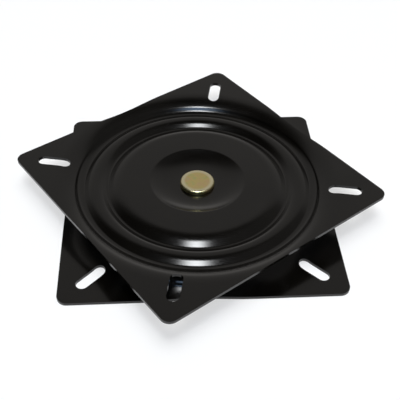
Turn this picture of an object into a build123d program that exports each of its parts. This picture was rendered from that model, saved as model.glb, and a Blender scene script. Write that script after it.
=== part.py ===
"""Square ball-bearing swivel plate: two pressed plates, a caged ball race and a centre rivet.

Millimetres. The origin is on the swivel axis, on the surface that the lower plate stands on.
+Z is up the axis, and the lower plate's corners lie along X and Y.
"""

import os
from dataclasses import dataclass
from math import acos, cos, degrees, hypot, radians, sin, sqrt

from build123d import *

# Both plates are the same stamping, and the lower one lies upside down
plate_width = 180.0
sheet_thickness = 2.0
corner_radius = 6.5
draw_in = 0.5  # pressing the rings pulls the middle of each side in by this much
draw_in_length = 60.0
rest_turn = 34.2  # degrees from the lower plate to the upper plate

# Mounting slots, radial on the diagonals
slot_inset = 20.0  # from each of the two nearest sides to the middle of the slot
slot_width = 8.0
slot_length = 22.0

# Ball race, pressed into the underside of the raised ring
ball_diameter = 9.525
ball_count = 16
race_radius = 7.2
race_clearance = 0.3  # between a ball and the crest of each race
race_inset = 20.9  # from the plate's side to the pitch circle

# Pressed rings: levels of the show face, radii of its bends, and slopes of its walls in degrees
roll_bend_radius = 25.5  # where the corners roll down towards the outer groove
roll_slope = 30.0
shoulder_bend_radius = 6.8
shoulder_slope = 47.5
foot_bend_radius = 6.2  # from the shoulder's wall into the outer groove
ring_depth = 4.2  # crest of the raised ring, below the corners
ring_outer_slope = 28.5
ring_inner_slope = 33.0
outer_groove_drop = 2.65  # grooves on both sides of the ring, below its crest
inner_groove_drop = 3.1
groove_bend_radius = 2.2
plateau_depth = 3.5  # round plateau inside the ring, below the corners
plateau_bend_radius = 16.5
plateau_slope = 28.8
recess_drop = 4.4  # floor of the dished recess round the rivet, below the plateau
recess_bend_radius = 2.6
recess_slope = 24.5
dish_bend_radius = 43.5
dish_margin = 1.35  # flat floor round the rivet head

# Centre rivet: the head and shank turn in the upper plate, the tail is set through the lower one
head_diameter = 23.3
head_height = 2.7
head_edge = 1.5
head_clearance = 0.3
shank_diameter = 14.0
shank_clearance = 0.08
tail_diameter = 10.0
tail_clearance = 0.1
set_head_diameter = 16.0
set_head_height = 2.0
washer_diameter = 22.0
washer_thickness = 1.5

# Ball cage, a flat ring between the grooves of the two plates
cage_clearance = 0.95
cage_margin = 2.6  # from a ball pocket to the ring's rim
pocket_clearance = 0.25

# What follows from the stack of plates and balls
pitch_radius = plate_width / 2 - race_inset
race_height = ball_diameter / 2 + race_clearance  # from the middle of the balls to the crest of each race
stack_height = 2 * (race_height + sheet_thickness + ring_depth)
middle_height = stack_height / 2
outer_groove_depth = ring_depth + outer_groove_drop
inner_groove_depth = ring_depth + inner_groove_drop
recess_depth = plateau_depth + recess_drop
cage_thickness = 2 * (race_height - max(outer_groove_drop, inner_groove_drop) - cage_clearance)
slot_circle_radius = (plate_width / 2 - slot_inset) * sqrt(2)


@dataclass
class Bend:
    """A bend of the show face, whose circle is level at this radius and depth. A crest bulges upwards."""

    radius: float
    depth: float
    bend: float
    crest: bool

    def arc(self, inset, slope_before, slope_after):
        """Its arc in the show face, or in the face that lies inset below it."""
        up = 1 if self.crest else -1
        centre = (self.radius, -self.depth - up * self.bend)
        return CenterArc(
            centre,
            self.bend - up * inset,
            90 * up + degrees(slope_before),
            degrees(slope_after - slope_before),
        )


def wall(drop, bends, slope):
    """Slope in radians and run of the wall between two levels, where two bends turn into it.

    The wall is less steep where the bends meet before they reach the wanted slope.
    """
    slope = min(radians(slope), acos(max(1 - drop / bends, 0)))
    straight = (drop - bends * (1 - cos(slope))) / sin(slope)
    return slope, bends * sin(slope) + straight * cos(slope)


def pressed_bends():
    """The bends from the corners in to the middle, and the slopes between them, positive where they fall."""
    ring_bend_radius = race_radius + sheet_thickness
    ring_bends = ring_bend_radius + groove_bend_radius
    outer_wall, outer_run = wall(outer_groove_drop, ring_bends, ring_outer_slope)
    inner_wall, inner_run = wall(inner_groove_drop, ring_bends, ring_inner_slope)
    roll_wall = radians(roll_slope)
    roll_run = (roll_bend_radius - shoulder_bend_radius) * sin(roll_wall)
    roll_drop = (roll_bend_radius - shoulder_bend_radius) * (1 - cos(roll_wall))
    shoulder_bends = shoulder_bend_radius + foot_bend_radius
    shoulder_wall, shoulder_run = wall(outer_groove_depth - roll_drop, shoulder_bends, shoulder_slope)
    plateau_bends = plateau_bend_radius + groove_bend_radius
    plateau_wall, plateau_run = wall(inner_groove_depth - plateau_depth, plateau_bends, plateau_slope)
    recess_wall, recess_run = wall(recess_drop, recess_bend_radius + dish_bend_radius, recess_slope)
    outer_groove = pitch_radius + outer_run
    inner_groove = pitch_radius - inner_run
    shoulder = outer_groove + shoulder_run
    recess_floor = head_diameter / 2 + dish_margin
    bends = [
        Bend(shoulder + roll_run, 0, roll_bend_radius, True),
        Bend(shoulder, roll_drop, shoulder_bend_radius, True),
        Bend(outer_groove, outer_groove_depth, foot_bend_radius, False),
        Bend(outer_groove, outer_groove_depth, groove_bend_radius, False),
        Bend(pitch_radius, ring_depth, ring_bend_radius, True),
        Bend(inner_groove, inner_groove_depth, groove_bend_radius, False),
        Bend(inner_groove - plateau_run, plateau_depth, plateau_bend_radius, True),
        Bend(recess_floor + recess_run, plateau_depth, recess_bend_radius, True),
        Bend(recess_floor, recess_depth, dish_bend_radius, False),
    ]
    slopes = [0, roll_wall, shoulder_wall, 0, -outer_wall, inner_wall, -plateau_wall, 0, recess_wall, 0]
    return bends, slopes


def sheet_section(outer_radius, hole_radius):
    """Section of the pressed sheet from its blank's edge to the centre hole, in the XZ plane."""
    bends, slopes = pressed_bends()
    edges = []
    ends = []
    for inset in (0, sheet_thickness):
        start = Vector(outer_radius, -inset)
        end = Vector(hole_radius, -recess_depth - inset)
        ends.append((start, end))
        for bend, before, after in zip(bends, slopes, slopes[1:]):
            arc = bend.arc(inset, before, after)
            if (arc @ 0 - start).length > 1e-6:
                edges.append(Line(start, arc @ 0))
            edges.append(arc)
            start = arc @ 1
        edges.append(Line(start, end))
    (top_rim, top_hole), (under_rim, under_hole) = ends
    edges += [Line(top_rim, under_rim), Line(top_hole, under_hole)]
    return Plane.XZ * make_face(edges)


def plate_outline():
    """Square with rounded corners, and with the middle of each side drawn in along tangent arcs."""
    half = plate_width / 2
    bow = draw_in_length / 2
    corner_start = half - corner_radius
    hollow_edge = -half + draw_in / 2
    lead = Line((-corner_start, -half), (-bow, -half))
    turn_in = TangentArc(lead @ 1, (-bow / 2, hollow_edge), tangent=lead % 1)
    hollow = TangentArc(turn_in @ 1, (bow / 2, hollow_edge), tangent=turn_in % 1)
    turn_out = TangentArc(hollow @ 1, (bow, -half), tangent=hollow % 1)
    trail = Line(turn_out @ 1, (corner_start, -half))
    corner = TangentArc(trail @ 1, (half, -corner_start), tangent=trail % 1)
    edges = []
    for quarter in range(4):
        for edge in (lead, turn_in, hollow, turn_out, trail, corner):
            edges.append(Rot(0, 0, 90 * quarter) * edge)
    return make_face(edges)


def stamping(hole_radius):
    """One pressed plate, with its corners' show face at Z = 0 and its rings pressed down."""
    blank_radius = hypot(plate_width, plate_width) / 2
    reach = outer_groove_depth + inner_groove_depth + sheet_thickness
    plate = revolve(sheet_section(blank_radius, hole_radius), Axis.Z)
    plate &= extrude(plate_outline(), reach, both=True)
    slot = extrude(SlotOverall(slot_length, slot_width), reach, both=True)
    return plate - PolarLocations(slot_circle_radius, 4, start_angle=45) * slot


def upper_plate():
    hole_radius = shank_diameter / 2 + shank_clearance
    return Pos(0, 0, stack_height) * Rot(0, 0, 45 + rest_turn) * stamping(hole_radius)


def lower_plate():
    hole_radius = tail_diameter / 2 + tail_clearance
    return Rot(180, 0, 45) * stamping(hole_radius)


def centre_rivet():
    """Shouldered rivet, seated on the lower plate's floor and set over the washer under it."""
    head_seat = stack_height - recess_depth + head_clearance
    shoulder = recess_depth + sheet_thickness
    set_head_seat = recess_depth - washer_thickness
    head = Pos(0, 0, head_seat) * extrude(Circle(head_diameter / 2), head_height)
    head = fillet(head.edges().group_by(Axis.Z)[-1], head_edge)
    shank = Pos(0, 0, shoulder) * extrude(Circle(shank_diameter / 2), head_seat - shoulder)
    tail = Pos(0, 0, set_head_seat) * extrude(Circle(tail_diameter / 2), shoulder - set_head_seat)
    set_head = Pos(0, 0, set_head_seat) * extrude(Circle(set_head_diameter / 2), -set_head_height)
    set_head = fillet(set_head.edges().group_by(Axis.Z)[0], set_head_height / 2)
    return head + shank + tail + set_head


def tail_washer():
    ring = Circle(washer_diameter / 2) - Circle(tail_diameter / 2 + tail_clearance)
    return Pos(0, 0, recess_depth) * extrude(ring, -washer_thickness)


def ball_cage():
    """Flat ring with a round pocket for each ball."""
    pocket_radius = ball_diameter / 2 + pocket_clearance
    half_width = pocket_radius + cage_margin
    ring = Circle(pitch_radius + half_width) - Circle(pitch_radius - half_width)
    ring -= PolarLocations(pitch_radius, ball_count) * Circle(pocket_radius)
    return Pos(0, 0, middle_height) * extrude(ring, cage_thickness / 2, both=True)


def balls():
    """One ball for each pocket, named by its number round the race."""
    ball = Pos(0, 0, middle_height) * Sphere(ball_diameter / 2)
    pockets = PolarLocations(pitch_radius, ball_count)
    return {f"ball_{number:02d}": pocket * ball for number, pocket in enumerate(pockets, 1)}


pieces = {
    "lower_plate": lower_plate(),
    "upper_plate": upper_plate(),
    "centre_rivet": centre_rivet(),
    "tail_washer": tail_washer(),
    "ball_cage": ball_cage(),
    **balls(),
}

os.makedirs("parts", exist_ok=True)
for node, solid in pieces.items():
    export_step(solid, f"parts/{node}.step")
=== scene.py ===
from math import acos, atan2, cos, hypot, pi, radians, sin, sqrt, tau

import bmesh
import bpy
from mathutils import Matrix, Vector


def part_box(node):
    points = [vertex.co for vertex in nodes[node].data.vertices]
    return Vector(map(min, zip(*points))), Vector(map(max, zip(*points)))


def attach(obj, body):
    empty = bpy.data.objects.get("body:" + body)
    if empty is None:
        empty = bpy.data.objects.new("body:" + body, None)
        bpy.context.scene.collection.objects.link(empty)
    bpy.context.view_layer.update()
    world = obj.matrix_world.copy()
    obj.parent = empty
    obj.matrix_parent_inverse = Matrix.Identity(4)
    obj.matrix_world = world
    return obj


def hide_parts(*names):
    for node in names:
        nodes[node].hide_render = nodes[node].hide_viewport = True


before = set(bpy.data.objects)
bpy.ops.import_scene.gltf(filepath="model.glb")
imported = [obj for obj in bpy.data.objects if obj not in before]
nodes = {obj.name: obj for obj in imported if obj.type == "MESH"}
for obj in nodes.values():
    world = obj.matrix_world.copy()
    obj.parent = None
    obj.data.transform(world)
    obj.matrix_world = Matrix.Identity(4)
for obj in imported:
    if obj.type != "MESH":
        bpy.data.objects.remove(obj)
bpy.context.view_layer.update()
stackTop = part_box("upper_plate")[1].z
print("frame loaded, stack height", round(stackTop, 6))


# small helpers for node trees and pieces

def addNode(tree, kind, **values):
    node = tree.nodes.new(kind)
    for name, value in values.items():
        setattr(node, name, value)
    return node


def wire(tree, *pairs):
    for source, target in pairs:
        tree.links.new(source, target)


def newTree(name, sockets):
    tree = bpy.data.node_groups.new(name, "GeometryNodeTree")
    tree.interface.new_socket("Geometry", in_out="OUTPUT", socket_type="NodeSocketGeometry")
    ids = {}
    for label, kind in sockets.items():
        ids[label] = tree.interface.new_socket(label, in_out="INPUT", socket_type=kind).identifier
    return tree, ids


def addPiece(name, data):
    piece = bpy.data.objects.new(name, data)
    bpy.context.collection.objects.link(piece)
    return piece


def plainMesh(maker):  # what the object's modifiers or curve come to
    depsgraph = bpy.context.evaluated_depsgraph_get()
    return bpy.data.meshes.new_from_object(maker.evaluated_get(depsgraph))


def runTree(name, tree, ids, values):
    maker = addPiece(name + "Maker", bpy.data.meshes.new(name))
    modifier = maker.modifiers.new("make", "NODES")
    modifier.node_group = tree
    for label, value in values.items():
        modifier[ids[label]] = value
    made = plainMesh(maker)
    made.name = name
    maker.modifiers.remove(modifier)
    bpy.data.objects.remove(maker)
    return made


# materials: a noise is given as scale and detail, a bump as strength and distance

def newMaterial(name, sockets):
    material = bpy.data.materials.new(name)
    material.use_nodes = True
    tree = material.node_tree
    shader = tree.nodes["Principled BSDF"]
    for label, value in sockets.items():
        shader.inputs[label].default_value = value
    where = addNode(tree, "ShaderNodeTexCoord")
    return material, tree, shader, where.outputs["Object"]


def addNoise(tree, where, scale, detail):
    noise = addNode(tree, "ShaderNodeTexNoise")
    noise.inputs["Scale"].default_value = scale
    noise.inputs["Detail"].default_value = detail
    wire(tree, (where, noise.inputs["Vector"]))
    return noise.outputs["Fac"]


def addRamp(tree, source, stops):
    ramp = addNode(tree, "ShaderNodeValToRGB")
    elements = ramp.color_ramp.elements
    while len(elements) < len(stops):
        elements.new(0.5)
    for element, (place, colour) in zip(elements, stops):
        element.position = place
        element.color = (*colour, 1)
    wire(tree, (source, ramp.inputs["Fac"]))
    return ramp.outputs["Color"]


def addLevels(tree, source, stops):  # a ramp of greys
    return addRamp(tree, source, [(place, (level, level, level)) for place, level in stops])


def addRange(tree, source, low, high, start=0, end=1, fade="LINEAR"):
    span = addNode(tree, "ShaderNodeMapRange", interpolation_type=fade)
    span.inputs["From Min"].default_value = start
    span.inputs["From Max"].default_value = end
    span.inputs["To Min"].default_value = low
    span.inputs["To Max"].default_value = high
    wire(tree, (source, span.inputs["Value"]))
    return span.outputs["Result"]


def addBump(tree, shader, height, strength, distance):
    bump = addNode(tree, "ShaderNodeBump")
    bump.inputs["Strength"].default_value = strength
    bump.inputs["Distance"].default_value = distance
    wire(tree, (height, bump.inputs["Height"]), (bump.outputs["Normal"], shader.inputs["Normal"]))


def addMottle(tree, shader, noise, look):  # tones and gloss that follow one noise
    low, high = look["spread"]
    tones = addRamp(tree, noise, [(low, look["dark"]), (high, look["light"])])
    gloss = addRange(tree, noise, *look["gloss"])
    wire(tree, (tones, shader.inputs["Base Color"]), (gloss, shader.inputs["Roughness"]))


def blackEnamel():
    look = {
        "dark": (0.0014, 0.0012, 0.0009), "light": (0.0026, 0.0022, 0.0017), "spread": (0.3, 0.7),
        "gloss": (0.13, 0.19), "clouds": (35, 4), "peel": (700, 2), "peelBump": (0.05, 0.0002),
    }
    material, tree, shader, where = newMaterial("blackEnamel", {"IOR": 1.5})
    addMottle(tree, shader, addNoise(tree, where, *look["clouds"]), look)
    addBump(tree, shader, addNoise(tree, where, *look["peel"]), *look["peelBump"])
    return material


def yellowZinc():
    look = {
        "film": [  # tints of the passivated layer
            (0.3, (0.70, 0.70, 0.32)), (0.45, (0.86, 0.72, 0.30)),
            (0.6, (0.88, 0.66, 0.34)), (0.75, (0.78, 0.74, 0.42)),
        ],
        "patches": (160, 3), "grain": (900, 3), "grainBump": (0.15, 0.0002), "gloss": (0.28, 0.42),
        # painted highlight on the head's rim: the radii where the pale colour starts and ends, its fade
        # across that band, and its colour
        "rim": (0.0078, 0.0117), "rimSheenFade": [(0, 0), (0.4, 1), (0.7, 1), (0.95, 0)],
        "rimSheenTint": (0.97, 0.89, 0.60),
    }
    material, tree, shader, where = newMaterial("yellowZinc", {"Metallic": 1.0})
    film = addRamp(tree, addNoise(tree, where, *look["patches"]), look["film"])
    grain = addNoise(tree, where, *look["grain"])
    flat = addNode(tree, "ShaderNodeVectorMath", operation="MULTIPLY")
    flat.inputs[1].default_value = (1, 1, 0)  # leaves out the height
    out = addNode(tree, "ShaderNodeVectorMath", operation="LENGTH")
    reach = addRange(tree, out.outputs["Value"], 0, 1, *look["rim"])
    rim = addNode(tree, "ShaderNodeMix", data_type="RGBA")  # painted highlight: the head's rim is painted pale, standing in for light caught by its rounded edge
    rim.inputs["B"].default_value = (*look["rimSheenTint"], 1)
    wire(
        tree,
        (where, flat.inputs[0]),
        (flat.outputs[0], out.inputs[0]),
        (addLevels(tree, reach, look["rimSheenFade"]), rim.inputs["Factor"]),
        (film, rim.inputs["A"]),
        (rim.outputs["Result"], shader.inputs["Base Color"]),
        (addRange(tree, grain, *look["gloss"]), shader.inputs["Roughness"]),
    )
    addBump(tree, shader, grain, *look["grainBump"])
    return material


def clearZinc():
    look = {
        "dark": (0.5, 0.51, 0.53), "light": (0.62, 0.63, 0.65), "spread": (0.3, 0.7),
        "gloss": (0.25, 0.45), "grain": (500, 4),
    }
    material, tree, shader, where = newMaterial("clearZinc", {"Metallic": 1.0})
    addMottle(tree, shader, addNoise(tree, where, *look["grain"]), look)
    return material


def ballSteel():
    look = {
        "dark": (0.56, 0.56, 0.57), "light": (0.66, 0.66, 0.66), "spread": (0.3, 0.7),
        "gloss": (0.06, 0.16), "smear": (220, 3),
    }
    material, tree, shader, where = newMaterial("ballSteel", {"Metallic": 1.0})
    addMottle(tree, shader, addNoise(tree, where, *look["smear"]), look)
    return material


def naturalNylon():
    look = {
        "dark": (0.66, 0.64, 0.57), "light": (0.74, 0.72, 0.66), "spread": (0.3, 0.7),
        "gloss": (0.4, 0.55), "clouds": (90, 3), "grain": (1500, 2), "grainBump": (0.1, 0.0001),
        "glow": {"Subsurface Weight": 0.2, "Subsurface Scale": 0.002},
    }
    material, tree, shader, where = newMaterial("naturalNylon", look["glow"])
    addMottle(tree, shader, addNoise(tree, where, *look["clouds"]), look)
    addBump(tree, shader, addNoise(tree, where, *look["grain"]), *look["grainBump"])
    return material


finishes = {
    "enamel": blackEnamel(),
    "yellow": yellowZinc(),
    "zinc": clearZinc(),
    "steel": ballSteel(),
    "nylon": naturalNylon(),
}
print("materials made:", len(finishes))


# plates: a pressed section is turned about the swivel axis, and trimmed to the outline and slots

pressing = {  # metres and degrees
    "side": 0.180, "sheet": 0.002, "cornerRadius": 0.0065, "drawIn": 0.0005, "drawInLength": 0.060,
    "slotInset": 0.020, "slotWidth": 0.008, "slotLength": 0.022,
    "raceRadius": 0.0072, "raceInset": 0.0209, "ringDepth": 0.0042, "outerSlope": 28.5, "innerSlope": 33.0,
    "outerDrop": 0.00265, "innerDrop": 0.0031, "grooveBend": 0.0022,
    "rollBend": 0.0255, "rollSlope": 30.0, "shoulderBend": 0.0068, "shoulderSlope": 47.5, "footBend": 0.0062,
    "plateauDepth": 0.0035, "plateauBend": 0.0165, "plateauSlope": 28.8,
    "recessDrop": 0.0044, "recessBend": 0.0026, "recessSlope": 24.5, "dishBend": 0.0435, "dishFloor": 0.013,
    "upperHole": 0.00708, "lowerHole": 0.0051, "restTurn": 34.2,
    "sheetReach": 0.72,  # radius before trimming, in sides of the plate
    "blankDepth": 0.02,  # of the trimming block, above and below
    "steps": 264,  # round the axis
    "bendStep": 2, "drawInStep": 0.8, "cornerStep": 7.5, "slotStep": 9,  # degrees of arc from point to point
    "sharpAngle": 35,
    "samePlace": 1e-7, "weldGap": 1e-6,
}


def arcPoints(centre, radius, start, end, step):
    count = max(2, round(abs(end - start) / radians(step)))
    angles = [start + (end - start) * k / count for k in range(count + 1)]
    return [(centre[0] + radius * cos(angle), centre[1] + radius * sin(angle)) for angle in angles]


def wall(drop, bends, slope):  # slope and run of a wall between two tangent bends
    slope = min(radians(slope), acos(max(1 - drop / bends, 0)))
    straight = (drop - bends * (1 - cos(slope))) / sin(slope)
    return slope, bends * sin(slope) + straight * cos(slope)


def pressedSection(holeRadius):  # closed loop of radius and height, from the rim in and back
    p = pressing
    ringBend = p["raceRadius"] + p["sheet"]
    ringBends = ringBend + p["grooveBend"]
    pitch = p["side"] / 2 - p["raceInset"]
    outerDepth = p["ringDepth"] + p["outerDrop"]
    innerDepth = p["ringDepth"] + p["innerDrop"]
    recessDepth = p["plateauDepth"] + p["recessDrop"]
    outerWall, outerRun = wall(p["outerDrop"], ringBends, p["outerSlope"])
    innerWall, innerRun = wall(p["innerDrop"], ringBends, p["innerSlope"])
    rollWall = radians(p["rollSlope"])
    rollRun = (p["rollBend"] - p["shoulderBend"]) * sin(rollWall)
    rollDrop = (p["rollBend"] - p["shoulderBend"]) * (1 - cos(rollWall))
    shoulderBends = p["shoulderBend"] + p["footBend"]
    shoulderWall, shoulderRun = wall(outerDepth - rollDrop, shoulderBends, p["shoulderSlope"])
    plateauBends = p["plateauBend"] + p["grooveBend"]
    plateauWall, plateauRun = wall(innerDepth - p["plateauDepth"], plateauBends, p["plateauSlope"])
    recessWall, recessRun = wall(p["recessDrop"], p["recessBend"] + p["dishBend"], p["recessSlope"])
    outerGroove, innerGroove = pitch + outerRun, pitch - innerRun
    shoulder = outerGroove + shoulderRun
    bends = [  # radius, depth, bend, up or down
        (shoulder + rollRun, 0, p["rollBend"], 1),
        (shoulder, rollDrop, p["shoulderBend"], 1),
        (outerGroove, outerDepth, p["footBend"], -1),
        (outerGroove, outerDepth, p["grooveBend"], -1),
        (pitch, p["ringDepth"], ringBend, 1),
        (innerGroove, innerDepth, p["grooveBend"], -1),
        (innerGroove - plateauRun, p["plateauDepth"], p["plateauBend"], 1),
        (p["dishFloor"] + recessRun, p["plateauDepth"], p["recessBend"], 1),
        (p["dishFloor"], recessDepth, p["dishBend"], -1),
    ]
    slopes = [0, rollWall, shoulderWall, 0, -outerWall, innerWall, -plateauWall, 0, recessWall, 0]
    faces = []
    for inset in (0, p["sheet"]):
        line = [(p["side"] * p["sheetReach"], -inset)]
        for (radius, depth, bend, up), before, after in zip(bends, slopes, slopes[1:]):
            centre = (radius, -depth - up * bend)
            level = up * pi / 2
            arc = arcPoints(centre, bend - up * inset, level + before, level + after, p["bendStep"])
            if hypot(arc[0][0] - line[-1][0], arc[0][1] - line[-1][1]) < p["samePlace"]:
                arc = arc[1:]
            line += arc
        line.append((holeRadius, -recessDepth - inset))
        faces.append(line)
    return faces[0] + faces[1][::-1]


def turnedTree():  # turns a loop of points about Z
    sockets = {"Section": "NodeSocketObject", "Steps": "NodeSocketInt", "Finish": "NodeSocketMaterial"}
    tree, ids = newTree("turned", sockets)
    inputs = addNode(tree, "NodeGroupInput")
    outputs = addNode(tree, "NodeGroupOutput")
    section = addNode(tree, "GeometryNodeObjectInfo")
    size = addNode(tree, "GeometryNodeAttributeDomainSize", component="MESH")
    columns = addNode(tree, "ShaderNodeMath", operation="ADD")
    rows = addNode(tree, "ShaderNodeMath", operation="ADD")
    grid = addNode(tree, "GeometryNodeMeshGrid")
    place = addNode(tree, "GeometryNodeInputPosition")
    shift = addNode(tree, "ShaderNodeVectorMath", operation="ADD")
    parts = addNode(tree, "ShaderNodeSeparateXYZ")
    row = addNode(tree, "ShaderNodeMath", operation="MULTIPLY")
    whole = addNode(tree, "ShaderNodeMath", operation="ROUND")
    wrap = addNode(tree, "ShaderNodeMath", operation="MODULO")
    sample = addNode(tree, "GeometryNodeSampleIndex", data_type="FLOAT_VECTOR", domain="POINT")
    point = addNode(tree, "GeometryNodeInputPosition")
    turn = addNode(tree, "ShaderNodeMath", operation="MULTIPLY")
    rotate = addNode(tree, "ShaderNodeVectorRotate", rotation_type="Z_AXIS")
    move = addNode(tree, "GeometryNodeSetPosition")
    merge = addNode(tree, "GeometryNodeMergeByDistance")
    realize = addNode(tree, "GeometryNodeRealizeInstances")
    paint = addNode(tree, "GeometryNodeSetMaterial")
    columns.inputs[1].default_value = 1
    rows.inputs[1].default_value = 1
    shift.inputs[1].default_value = (0.5, 0.5, 0)  # the grid's corner to the origin
    turn.inputs[1].default_value = tau
    merge.inputs["Distance"].default_value = pressing["samePlace"]
    wire(
        tree,
        (inputs.outputs["Section"], section.inputs["Object"]),
        (section.outputs["Geometry"], size.inputs["Geometry"]),
        (inputs.outputs["Steps"], columns.inputs[0]),
        (size.outputs["Point Count"], rows.inputs[0]),
        (columns.outputs[0], grid.inputs["Vertices X"]),
        (rows.outputs[0], grid.inputs["Vertices Y"]),
        (place.outputs[0], shift.inputs[0]),
        (shift.outputs[0], parts.inputs[0]),
        (parts.outputs["Y"], row.inputs[0]),
        (size.outputs["Point Count"], row.inputs[1]),
        (row.outputs[0], whole.inputs[0]),
        (whole.outputs[0], wrap.inputs[0]),
        (size.outputs["Point Count"], wrap.inputs[1]),
        (section.outputs["Geometry"], sample.inputs["Geometry"]),
        (point.outputs[0], sample.inputs["Value"]),
        (wrap.outputs[0], sample.inputs["Index"]),
        (parts.outputs["X"], turn.inputs[0]),
        (sample.outputs["Value"], rotate.inputs["Vector"]),
        (turn.outputs[0], rotate.inputs["Angle"]),
        (grid.outputs["Mesh"], move.inputs["Geometry"]),
        (rotate.outputs["Vector"], move.inputs["Position"]),
        (move.outputs["Geometry"], merge.inputs["Geometry"]),
        (merge.outputs["Geometry"], realize.inputs["Geometry"]),
        (realize.outputs["Geometry"], paint.inputs["Geometry"]),
        (inputs.outputs["Finish"], paint.inputs["Material"]),
        (paint.outputs["Geometry"], outputs.inputs["Geometry"]),
    )
    return tree, ids


def turned(name, points, finish, steps):
    loopMesh = bpy.data.meshes.new(name + "Section")
    loopMesh.from_pydata([(radius, 0, height) for radius, height in points], [], [])
    loop = addPiece(name + "Section", loopMesh)
    tree, ids = turnedForm
    mesh = runTree(name, tree, ids, {"Section": loop, "Steps": steps, "Finish": finish})
    bpy.data.objects.remove(loop)
    return mesh


def outlinePoints():  # square with rounded corners and drawn-in sides
    p = pressing
    half, bow, corner = p["side"] / 2, p["drawInLength"] / 2, p["cornerRadius"]
    turn = 2 * atan2(p["drawIn"] / 2, bow / 2)  # the side's slope between its tangent arcs
    bend = bow / 2 / sin(turn)
    step = p["drawInStep"]
    side = arcPoints((-bow, -half + bend), bend, -pi / 2, -pi / 2 + turn, step)
    side += arcPoints((0, -half + p["drawIn"] - bend), bend, pi / 2 + turn, pi / 2 - turn, step)[1:]
    side += arcPoints((bow, -half + bend), bend, -pi / 2 - turn, -pi / 2, step)[1:]
    side += arcPoints((half - corner, -half + corner), corner, -pi / 2, 0, p["cornerStep"])
    points = []
    for quarter in range(4):
        spin = Matrix.Rotation(quarter * pi / 2, 2)
        points += [spin @ Vector(point) for point in side]
    return points


def slotPoints(angle):
    p = pressing
    reach = (p["side"] / 2 - p["slotInset"]) * sqrt(2)
    half = (p["slotLength"] - p["slotWidth"]) / 2
    loop = arcPoints((reach + half, 0), p["slotWidth"] / 2, -pi / 2, pi / 2, p["slotStep"])
    loop += arcPoints((reach - half, 0), p["slotWidth"] / 2, pi / 2, 3 * pi / 2, p["slotStep"])
    spin = Matrix.Rotation(angle, 2)
    return [spin @ Vector(point) for point in loop]


def blankObject():  # the outline and slots as a thick block to trim the turned sheet with
    curve = bpy.data.curves.new("blank", "CURVE")
    curve.dimensions = "2D"
    curve.fill_mode = "BOTH"
    curve.extrude = pressing["blankDepth"]
    loops = [outlinePoints()] + [slotPoints(pi / 4 + k * pi / 2) for k in range(4)]
    for loop in loops:
        spline = curve.splines.new("POLY")
        spline.points.add(len(loop) - 1)
        for point, place in zip(spline.points, loop):
            point.co = (place[0], place[1], 0, 1)
        spline.use_cyclic_u = True
    drawn = addPiece("blankCurve", curve)
    mesh = plainMesh(drawn)
    bpy.data.objects.remove(drawn)
    work = bmesh.new()
    work.from_mesh(mesh)
    bmesh.ops.remove_doubles(work, verts=work.verts, dist=pressing["weldGap"])
    bmesh.ops.recalc_face_normals(work, faces=work.faces)
    work.to_mesh(mesh)
    work.free()
    return addPiece("blank", mesh)


def trimTree():  # keeps what lies inside the blank
    sockets = {"Sheet": "NodeSocketObject", "Blank": "NodeSocketObject", "Finish": "NodeSocketMaterial"}
    tree, ids = newTree("trim", sockets)
    inputs = addNode(tree, "NodeGroupInput")
    outputs = addNode(tree, "NodeGroupOutput")
    sheet = addNode(tree, "GeometryNodeObjectInfo")
    blank = addNode(tree, "GeometryNodeObjectInfo")
    trim = addNode(tree, "GeometryNodeMeshBoolean", operation="INTERSECT", solver="EXACT")
    realize = addNode(tree, "GeometryNodeRealizeInstances")
    paint = addNode(tree, "GeometryNodeSetMaterial")
    wire(
        tree,
        (inputs.outputs["Sheet"], sheet.inputs["Object"]),
        (inputs.outputs["Blank"], blank.inputs["Object"]),
        (blank.outputs["Geometry"], trim.inputs["Mesh 2"]),
        (sheet.outputs["Geometry"], trim.inputs["Mesh 2"]),
        (trim.outputs["Mesh"], realize.inputs["Geometry"]),
        (realize.outputs["Geometry"], paint.inputs["Geometry"]),
        (inputs.outputs["Finish"], paint.inputs["Material"]),
        (paint.outputs["Geometry"], outputs.inputs["Geometry"]),
    )
    return tree, ids


def pressedPlate(name, holeRadius, place, body, node):
    section = pressedSection(holeRadius)
    sheet = addPiece(name + "Sheet", turned(name + "Sheet", section, finishes["enamel"], pressing["steps"]))
    tree, ids = trimForm
    mesh = runTree(name, tree, ids, {"Sheet": sheet, "Blank": blank, "Finish": finishes["enamel"]})
    bpy.data.objects.remove(sheet)
    mesh.transform(place)
    mesh.shade_smooth()
    mesh.set_sharp_from_angle(angle=radians(pressing["sharpAngle"]))
    piece = addPiece(name, mesh)
    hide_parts(node)
    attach(piece, body)
    print(name, "polygons", len(mesh.polygons))


turnedForm = turnedTree()
trimForm = trimTree()
blank = blankObject()
diagonal = pi / 4  # the lower plate's corners lie along X and Y
upperTurn = Matrix.Rotation(diagonal + radians(pressing["restTurn"]), 4, "Z")
upperPlace = Matrix.Translation((0, 0, stackTop)) @ upperTurn
lowerPlace = Matrix.Rotation(diagonal, 4, "Z") @ Matrix.Rotation(pi, 4, "X")  # upside down
pressedPlate("upperPlate", pressing["upperHole"], upperPlace, "upper", "upper_plate")
pressedPlate("lowerPlate", pressing["lowerHole"], lowerPlace, "lower", "lower_plate")
bpy.data.objects.remove(blank)


# balls

race = {"balls": 16, "diameter": 0.009525, "segments": 40, "rings": 24}


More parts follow.
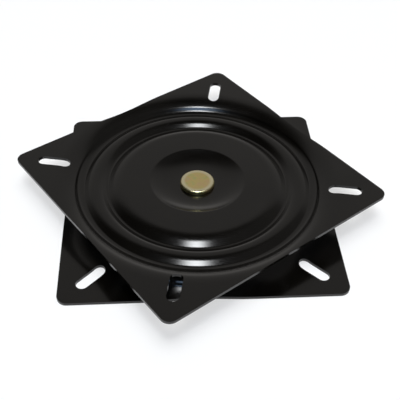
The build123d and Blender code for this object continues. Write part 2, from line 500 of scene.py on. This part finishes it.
def ballTree():  # a ball on each point of the pitch circle
    sockets = {
        "Count": "NodeSocketInt", "Pitch Radius": "NodeSocketFloat",
        "Ball Radius": "NodeSocketFloat", "Finish": "NodeSocketMaterial",
    }
    tree, ids = newTree("ballRing", sockets)
    inputs = addNode(tree, "NodeGroupInput")
    outputs = addNode(tree, "NodeGroupOutput")
    circle = addNode(tree, "GeometryNodeMeshCircle", fill_type="NONE")
    ball = addNode(tree, "GeometryNodeMeshUVSphere")
    ball.inputs["Segments"].default_value = race["segments"]
    ball.inputs["Rings"].default_value = race["rings"]
    spread = addNode(tree, "GeometryNodeInstanceOnPoints")
    realize = addNode(tree, "GeometryNodeRealizeInstances")
    smooth = addNode(tree, "GeometryNodeSetShadeSmooth")
    paint = addNode(tree, "GeometryNodeSetMaterial")
    wire(
        tree,
        (inputs.outputs["Count"], circle.inputs["Vertices"]),
        (inputs.outputs["Pitch Radius"], circle.inputs["Radius"]),
        (inputs.outputs["Ball Radius"], ball.inputs["Radius"]),
        (circle.outputs["Mesh"], spread.inputs["Points"]),
        (ball.outputs["Mesh"], spread.inputs["Instance"]),
        (spread.outputs["Instances"], realize.inputs["Geometry"]),
        (realize.outputs["Geometry"], smooth.inputs["Geometry"]),
        (smooth.outputs["Geometry"], paint.inputs["Geometry"]),
        (inputs.outputs["Finish"], paint.inputs["Material"]),
        (paint.outputs["Geometry"], outputs.inputs["Geometry"]),
    )
    return tree, ids


ballForm, ballIds = ballTree()
ballSizes = {
    "Count": race["balls"], "Pitch Radius": pressing["side"] / 2 - pressing["raceInset"],
    "Ball Radius": race["diameter"] / 2, "Finish": finishes["steel"],
}
ballMesh = runTree("raceBalls", ballForm, ballIds, ballSizes)
ballMesh.transform(Matrix.Translation((0, 0, stackTop / 2)))
raceBalls = addPiece("raceBalls", ballMesh)
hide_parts(*[name for name in nodes if name.startswith("ball_") and name != "ball_cage"])
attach(raceBalls, "cage")
print("balls made:", race["balls"])


# solids that keep their shape and get a finish

kept = {"centre_rivet": "yellow", "tail_washer": "zinc", "ball_cage": "nylon"}
for name, finish in kept.items():
    mesh = nodes[name].data
    mesh.materials.clear()
    mesh.materials.append(finishes[finish])
print("solids finished:", len(kept))


# studio

view = {
    "azimuth": 40.78, "elevation": 43.07, "roll": -1.28, "distance": 0.50616,
    "lens": 67.59, "sensor": 36, "clipStart": 0.01, "aimRight": 0.0017, "aimUp": -0.01671,
}
studio = {
    "floor": 80.0, "floorColour": (0.85, 0.85, 0.85), "floorGlow": 0.62, "air": (1.0, 0.965, 0.925),
    "panel": [  # light level by how far a direction points away from the camera
        (0.28, 0.02), (0.44, 0.12), (0.53, 0.28), (0.60, 0.35), (0.72, 0.365),
        (0.88, 0.355), (0.95, 0.41), (0.985, 0.88), (1.0, 1.1),
    ],
    "panelRim": (0.47, 0.66), "panelRise": 62, "rightFill": 0.15, "rightReach": 0.4,
    "haze": (0.05, 0.02),  # heights where it starts and is full
}
lamps = {  # lean is measured from straight above, towards the camera
    "softbox": {"lean": 15.5, "distance": 4.0, "size": (1.5, 1.6), "power": 245, "colour": (0.96, 0.98, 1.0)},
    "window": {"lean": 35, "distance": 4.0, "size": (3.0, 2.2), "power": 112, "colour": (0.50, 0.70, 1.0)},
    "skylight": {"lean": 0, "distance": 2.5, "size": (3.0, 3.0), "power": 230, "colour": (1.0, 1.0, 1.0)},
}


def addCamera():
    turn = Matrix.Rotation(radians(view["azimuth"]), 3, "Z")
    turn = turn @ Matrix.Rotation(radians(90 - view["elevation"]), 3, "X")
    turn = turn @ Matrix.Rotation(radians(-view["roll"]), 3, "Z")
    camera = bpy.data.cameras.new("camera")
    camera.sensor_width = view["sensor"]
    camera.lens = view["lens"]
    camera.clip_start = view["clipStart"]
    holder = addPiece("camera", camera)
    aim = Vector((0, 0, stackTop)) + turn @ Vector((view["aimRight"], view["aimUp"], 0))
    holder.matrix_world = Matrix.Translation(aim + turn @ Vector((0, 0, view["distance"]))) @ turn.to_4x4()
    bpy.context.scene.camera = holder


def addFloor():
    half = studio["floor"] / 2
    corners = [(-half, -half, 0), (half, -half, 0), (half, half, 0), (-half, half, 0)]
    mesh = bpy.data.meshes.new("floor")
    mesh.from_pydata(corners, [], [(0, 1, 2, 3)])
    material = bpy.data.materials.new("paleFloor")
    material.use_nodes = True
    tree = material.node_tree
    tree.nodes.remove(tree.nodes["Principled BSDF"])
    output = tree.nodes["Material Output"]
    matt = addNode(tree, "ShaderNodeBsdfDiffuse")
    matt.inputs["Color"].default_value = (*studio["floorColour"], 1)
    glow = addNode(tree, "ShaderNodeEmission")
    path = addNode(tree, "ShaderNodeLightPath")
    seen = addNode(tree, "ShaderNodeMath", operation="ADD")
    seenThrough = addNode(tree, "ShaderNodeMath", operation="ADD", use_clamp=True)
    share = addNode(tree, "ShaderNodeMath", operation="MULTIPLY")
    share.inputs[1].default_value = studio["floorGlow"]
    mix = addNode(tree, "ShaderNodeMixShader")
    wire(
        tree,
        (path.outputs["Is Camera Ray"], seen.inputs[0]),
        (path.outputs["Is Glossy Ray"], seen.inputs[1]),
        (seen.outputs[0], seenThrough.inputs[0]),
        (path.outputs["Is Transmission Ray"], seenThrough.inputs[1]),
        (seenThrough.outputs[0], share.inputs[0]),
        (share.outputs[0], mix.inputs["Fac"]),
        (matt.outputs[0], mix.inputs[1]),
        (glow.outputs[0], mix.inputs[2]),
        (mix.outputs[0], output.inputs["Surface"]),
    )
    mesh.materials.append(material)
    addPiece("floor", mesh)


def addWorld():
    world = bpy.data.worlds.new("studio")
    world.use_nodes = True
    bpy.context.scene.world = world
    tree = world.node_tree
    background = tree.nodes["Background"]
    background.inputs["Color"].default_value = (*studio["air"], 1)
    where = addNode(tree, "ShaderNodeTexCoord")
    face = addNode(tree, "ShaderNodeVectorRotate", rotation_type="Z_AXIS")
    face.inputs["Angle"].default_value = -radians(view["azimuth"])
    parts = addNode(tree, "ShaderNodeSeparateXYZ")  # X to the right, Y away from the camera
    rise = radians(studio["panelRise"])
    inward = addNode(tree, "ShaderNodeVectorMath", operation="DOT_PRODUCT")
    inward.inputs[1].default_value = (0, cos(rise), sin(rise))  # the middle of the panel
    levels = addLevels(tree, parts.outputs["Y"], studio["panel"])
    inside = addRange(tree, inward.outputs["Value"], 0, 1, *studio["panelRim"], fade="SMOOTHSTEP")
    panel = addNode(tree, "ShaderNodeMath", operation="MULTIPLY")
    right = addNode(tree, "ShaderNodeMath", operation="MULTIPLY")
    fill = addRange(tree, right.outputs[0], 0, studio["rightFill"], 0, studio["rightReach"])
    total = addNode(tree, "ShaderNodeMath", operation="MAXIMUM")
    haze = addRange(tree, parts.outputs["Z"], 0, 1, *studio["haze"])  # pale above the floor's far edge
    shown = addNode(tree, "ShaderNodeMath", operation="MAXIMUM")
    wire(
        tree,
        (where.outputs["Generated"], face.inputs["Vector"]),
        (face.outputs["Vector"], parts.inputs[0]),
        (face.outputs["Vector"], inward.inputs[0]),
        (levels, panel.inputs[0]),
        (inside, panel.inputs[1]),
        (parts.outputs["X"], right.inputs[0]),
        (parts.outputs["Z"], right.inputs[1]),
        (panel.outputs[0], total.inputs[0]),
        (fill, total.inputs[1]),
        (total.outputs[0], shown.inputs[0]),
        (haze, shown.inputs[1]),
        (shown.outputs[0], background.inputs["Strength"]),
    )


def addLamp(name, look):
    lamp = bpy.data.lights.new(name, "AREA")
    lamp.shape = "RECTANGLE"
    lamp.size, lamp.size_y = look["size"]
    lamp.energy = look["power"]
    lamp.color = look["colour"]
    lamp.use_nodes = True
    tree = lamp.node_tree
    spot = addNode(tree, "ShaderNodeNewGeometry")
    middle = addNode(tree, "ShaderNodeVectorMath", operation="DISTANCE")
    middle.inputs[1].default_value = (0.5, 0.5, 0)
    glow = addRange(tree, middle.outputs["Value"], 1, 0, 0, 0.5, "SMOOTHERSTEP")  # fades out to its sides
    wire(
        tree,
        (spot.outputs["Parametric"], middle.inputs[0]),
        (glow, tree.nodes["Emission"].inputs["Strength"]),
    )
    holder = addPiece(name, lamp)
    spin = Matrix.Rotation(radians(view["azimuth"]), 4, "Z") @ Matrix.Rotation(radians(look["lean"]), 4, "X")
    away = spin @ Matrix.Translation((0, 0, look["distance"]))
    holder.matrix_world = Matrix.Translation((0, 0, stackTop)) @ away


addCamera()
addFloor()
addWorld()
for name, look in lamps.items():
    addLamp(name, look)
bpy.data.objects["skylight"].visible_glossy = False  # no reflection of it in the gloss
bpy.context.scene.view_settings.view_transform = "Standard"
print("studio ready")
